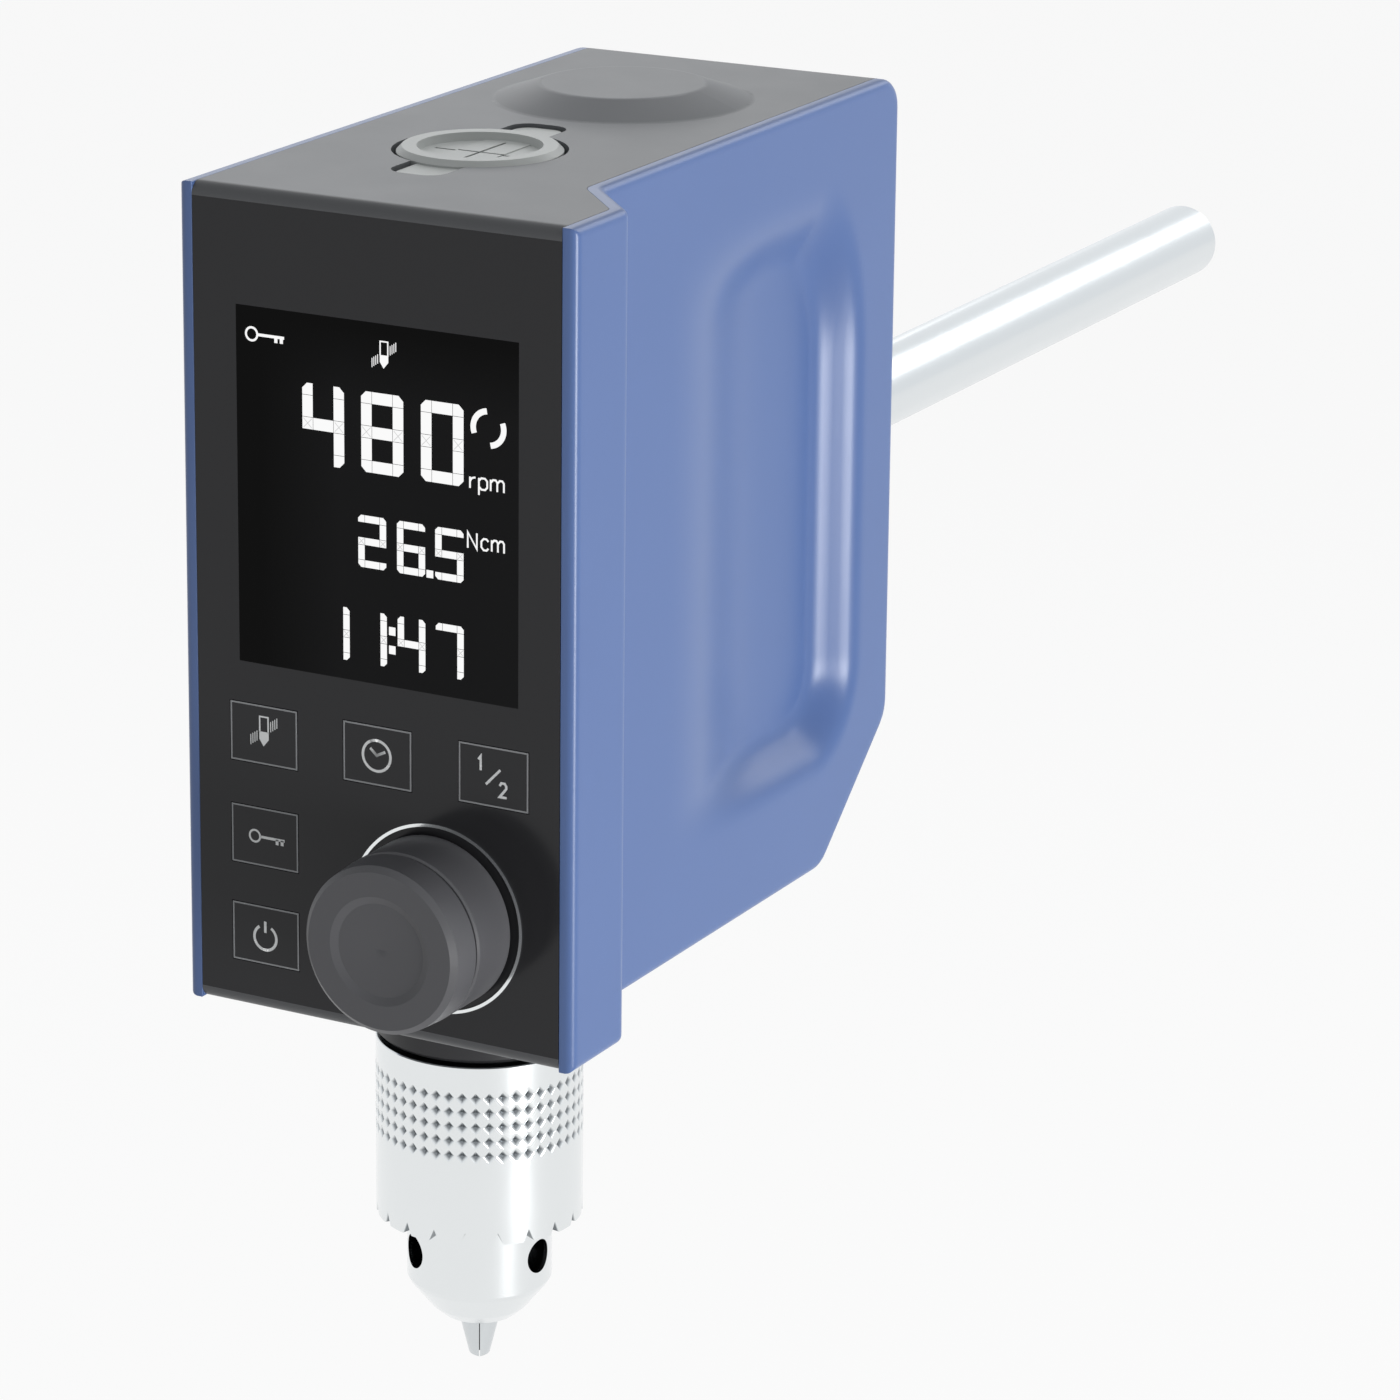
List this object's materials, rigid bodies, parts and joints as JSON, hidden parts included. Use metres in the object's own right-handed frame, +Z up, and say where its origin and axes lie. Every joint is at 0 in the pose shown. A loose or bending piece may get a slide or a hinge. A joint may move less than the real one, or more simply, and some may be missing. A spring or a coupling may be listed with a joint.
{
  "type": "overhead stirrer",
  "caption": "Compact overhead laboratory stirrer with a display panel, push-turn knob, keyed chuck on a hollow spindle and a rear support boom.",
  "frame": {"origin": "where the boom's axis meets the housing's rear face", "axes": "+Y along the boom away from the housing, +Z up, the display side faces -Y, +X is to the right seen from the front"},
  "size_m": [0.0635, 0.3131, 0.188],
  "materials": {
    "blue_shell": "fine moulded satin",
    "grey_shell": "fine moulded satin",
    "panel_black": "gloss",
    "display_black": "gloss",
    "module_grey": "matt",
    "knob_grey": "satin",
    "key_black": "gloss",
    "cap_grey": "satin",
    "collar_dark": "satin",
    "chuck_steel": "satin chrome",
    "jaw_steel": "ground",
    "boom_steel": "ground stainless",
    "frame_alloy": "cast and milled",
    "bearing_steel": "ground",
    "pulley_alloy": "turned",
    "belt_rubber": "matt",
    "motor_steel": "zinc plated",
    "board_green": "solder mask",
    "screw_steel": "plated",
    "socket_black": "moulded",
    "port_metal": "folded tin plate",
    "ring_chrome": "polished"
  },
  "bodies": {
    "housing": {"side_shell_left": "blue_shell", "side_shell_right": "blue_shell", "centre_shell": "grey_shell", "rear_cover": "grey_shell", "rear_screws": "screw_steel", "power_inlet": "socket_black", "data_port": "port_metal", "front_panel": "panel_black", "display_window": "display_black", "display_module": "module_grey", "control_board": "board_green", "board_screws": "screw_steel", "key_switches": "socket_black", "encoder": "port_metal", "knob_ring": "ring_chrome", "bearing_frame": "frame_alloy", "boom_lock_screw": "screw_steel", "boom": "boom_steel", "motor_can": "motor_steel", "motor_end_bell": "socket_black", "motor_screws": "screw_steel", "drive_belt": "belt_rubber", "upper_bearing": "bearing_steel", "lower_bearing": "bearing_steel", "collar": "collar_dark", "cap_seat": "grey_shell"},
    "spindle": {"hollow_shaft": "bearing_steel", "spindle_pulley": "pulley_alloy", "chuck_body": "chuck_steel"},
    "sleeve": {"chuck_sleeve": "chuck_steel", "chuck_nut": "bearing_steel"},
    "jaw_a": {"jaw_1": "jaw_steel"},
    "jaw_b": {"jaw_2": "jaw_steel"},
    "jaw_c": {"jaw_3": "jaw_steel"},
    "motor": {"motor_rotor": "motor_steel", "motor_pulley": "pulley_alloy"},
    "plunger": {"encoder_plunger": "screw_steel"},
    "knob": {"encoder_stem": "screw_steel", "knob_skirt": "knob_grey", "knob_cap": "knob_grey"},
    "cap": {"shaft_cap": "cap_grey"},
    "key_stir": {"key_stir": "key_black"},
    "key_timer": {"key_timer": "key_black"},
    "key_display": {"key_display": "key_black"},
    "key_lock": {"key_lock": "key_black"},
    "key_power": {"key_power": "key_black"}
  },
  "joints": [
    {"name": "spindle_spin", "type": "hinge", "parent": "housing", "child": "spindle", "pos_m": [0, -0.0791, 0], "axis": [0, 0, 1], "continuous": true},
    {"name": "motor_spin", "type": "hinge", "parent": "housing", "child": "motor", "pos_m": [0, -0.0367, 0], "axis": [0, 0, 1], "continuous": true},
    {"name": "sleeve_turn", "type": "hinge", "parent": "spindle", "child": "sleeve", "pos_m": [0, -0.0791, 0], "axis": [0, 0, 1], "range_deg": [0, 3700]},
    {"name": "knob_press", "type": "slide", "parent": "housing", "child": "plunger", "axis": [0, 1, 0], "range_m": [0, 0.0008], "stiffness_N_per_m": 1200},
    {"name": "knob_turn", "type": "hinge", "parent": "plunger", "child": "knob", "pos_m": [0.01545, -0.118, -0.0372], "axis": [0, -1, 0], "continuous": true},
    {"name": "cap_lift", "type": "slide", "parent": "housing", "child": "cap", "axis": [0, 0, 1], "range_m": [0, 0.03]},
    {"name": "jaw_a_slide", "type": "slide", "parent": "spindle", "child": "jaw_a", "axis": [0.2588, 0, 0.9659], "range_m": [0, 0.01545]},
    {"name": "jaw_b_slide", "type": "slide", "parent": "spindle", "child": "jaw_b", "axis": [-0.1294, 0.2241, 0.9659], "range_m": [0, 0.01545]},
    {"name": "jaw_c_slide", "type": "slide", "parent": "spindle", "child": "jaw_c", "axis": [-0.1294, -0.2241, 0.9659], "range_m": [0, 0.01545]},
    {"name": "key_stir_press", "type": "slide", "parent": "housing", "child": "key_stir", "axis": [0, 1, 0], "range_m": [0, 0.0004], "stiffness_N_per_m": 800},
    {"name": "key_timer_press", "type": "slide", "parent": "housing", "child": "key_timer", "axis": [0, 1, 0], "range_m": [0, 0.0004], "stiffness_N_per_m": 800},
    {"name": "key_display_press", "type": "slide", "parent": "housing", "child": "key_display", "axis": [0, 1, 0], "range_m": [0, 0.0004], "stiffness_N_per_m": 800},
    {"name": "key_lock_press", "type": "slide", "parent": "housing", "child": "key_lock", "axis": [0, 1, 0], "range_m": [0, 0.0004], "stiffness_N_per_m": 800},
    {"name": "key_power_press", "type": "slide", "parent": "housing", "child": "key_power", "axis": [0, 1, 0], "range_m": [0, 0.0004], "stiffness_N_per_m": 800}
  ],
  "couplings": [
    {"joint": "motor_spin", "follows": "spindle_spin", "ratio": 1.5},
    {"joint": "jaw_a_slide", "follows": "sleeve_turn", "m_per_rad": 0.00023873},
    {"joint": "jaw_b_slide", "follows": "sleeve_turn", "m_per_rad": 0.00023873},
    {"joint": "jaw_c_slide", "follows": "sleeve_turn", "m_per_rad": 0.00023873}
  ]
}
